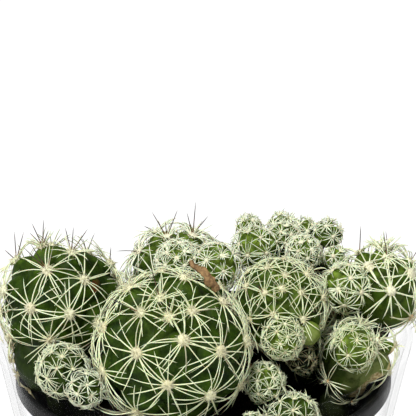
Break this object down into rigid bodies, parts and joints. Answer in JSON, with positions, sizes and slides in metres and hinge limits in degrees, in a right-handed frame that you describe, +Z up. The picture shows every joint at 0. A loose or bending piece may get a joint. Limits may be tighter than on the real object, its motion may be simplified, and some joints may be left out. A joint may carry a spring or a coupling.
{
  "type": "potted thimble cactus",
  "caption": "Clump of round spiny cactus heads with young offsets in a black plant pot that stands inside a clear tapered outer pot.",
  "frame": {"origin": "the middle of the clear pot's flat underside", "axes": "+Z is up. -Y is the front, where the largest head stands. +X is to the right, seen from the front."},
  "size_m": [0.0895, 0.0832, 0.0937],
  "materials": {
    "clear_plastic": "gloss",
    "black_plastic": "satin",
    "potting_soil": "matte",
    "cactus_skin": "satin",
    "spine": "satin",
    "dried_petal": "matte"
  },
  "bodies": {
    "root": {"clear_pot": "clear_plastic", "plant_pot": "black_plastic", "soil": "potting_soil", "head_front": "cactus_skin", "head_left": "cactus_skin", "head_back": "cactus_skin", "head_middle_right": "cactus_skin", "head_right": "cactus_skin", "head_low_right": "cactus_skin", "head_shadow": "cactus_skin", "head_back_right": "cactus_skin", "head_rear_left": "cactus_skin", "head_rear_middle": "cactus_skin", "head_rear_right": "cactus_skin", "head_inner_left": "cactus_skin", "offset_left": "cactus_skin", "offset_front_middle": "cactus_skin", "offset_front_right": "cactus_skin", "offset_front_low": "cactus_skin", "offset_inner_middle": "cactus_skin", "offset_inner_rear": "cactus_skin", "offset_far_left": "cactus_skin", "offset_far_right": "cactus_skin", "offset_rear_left": "cactus_skin", "offset_rear_right": "cactus_skin", "dried_flower": "dried_petal"}
  },
  "joints": []
}
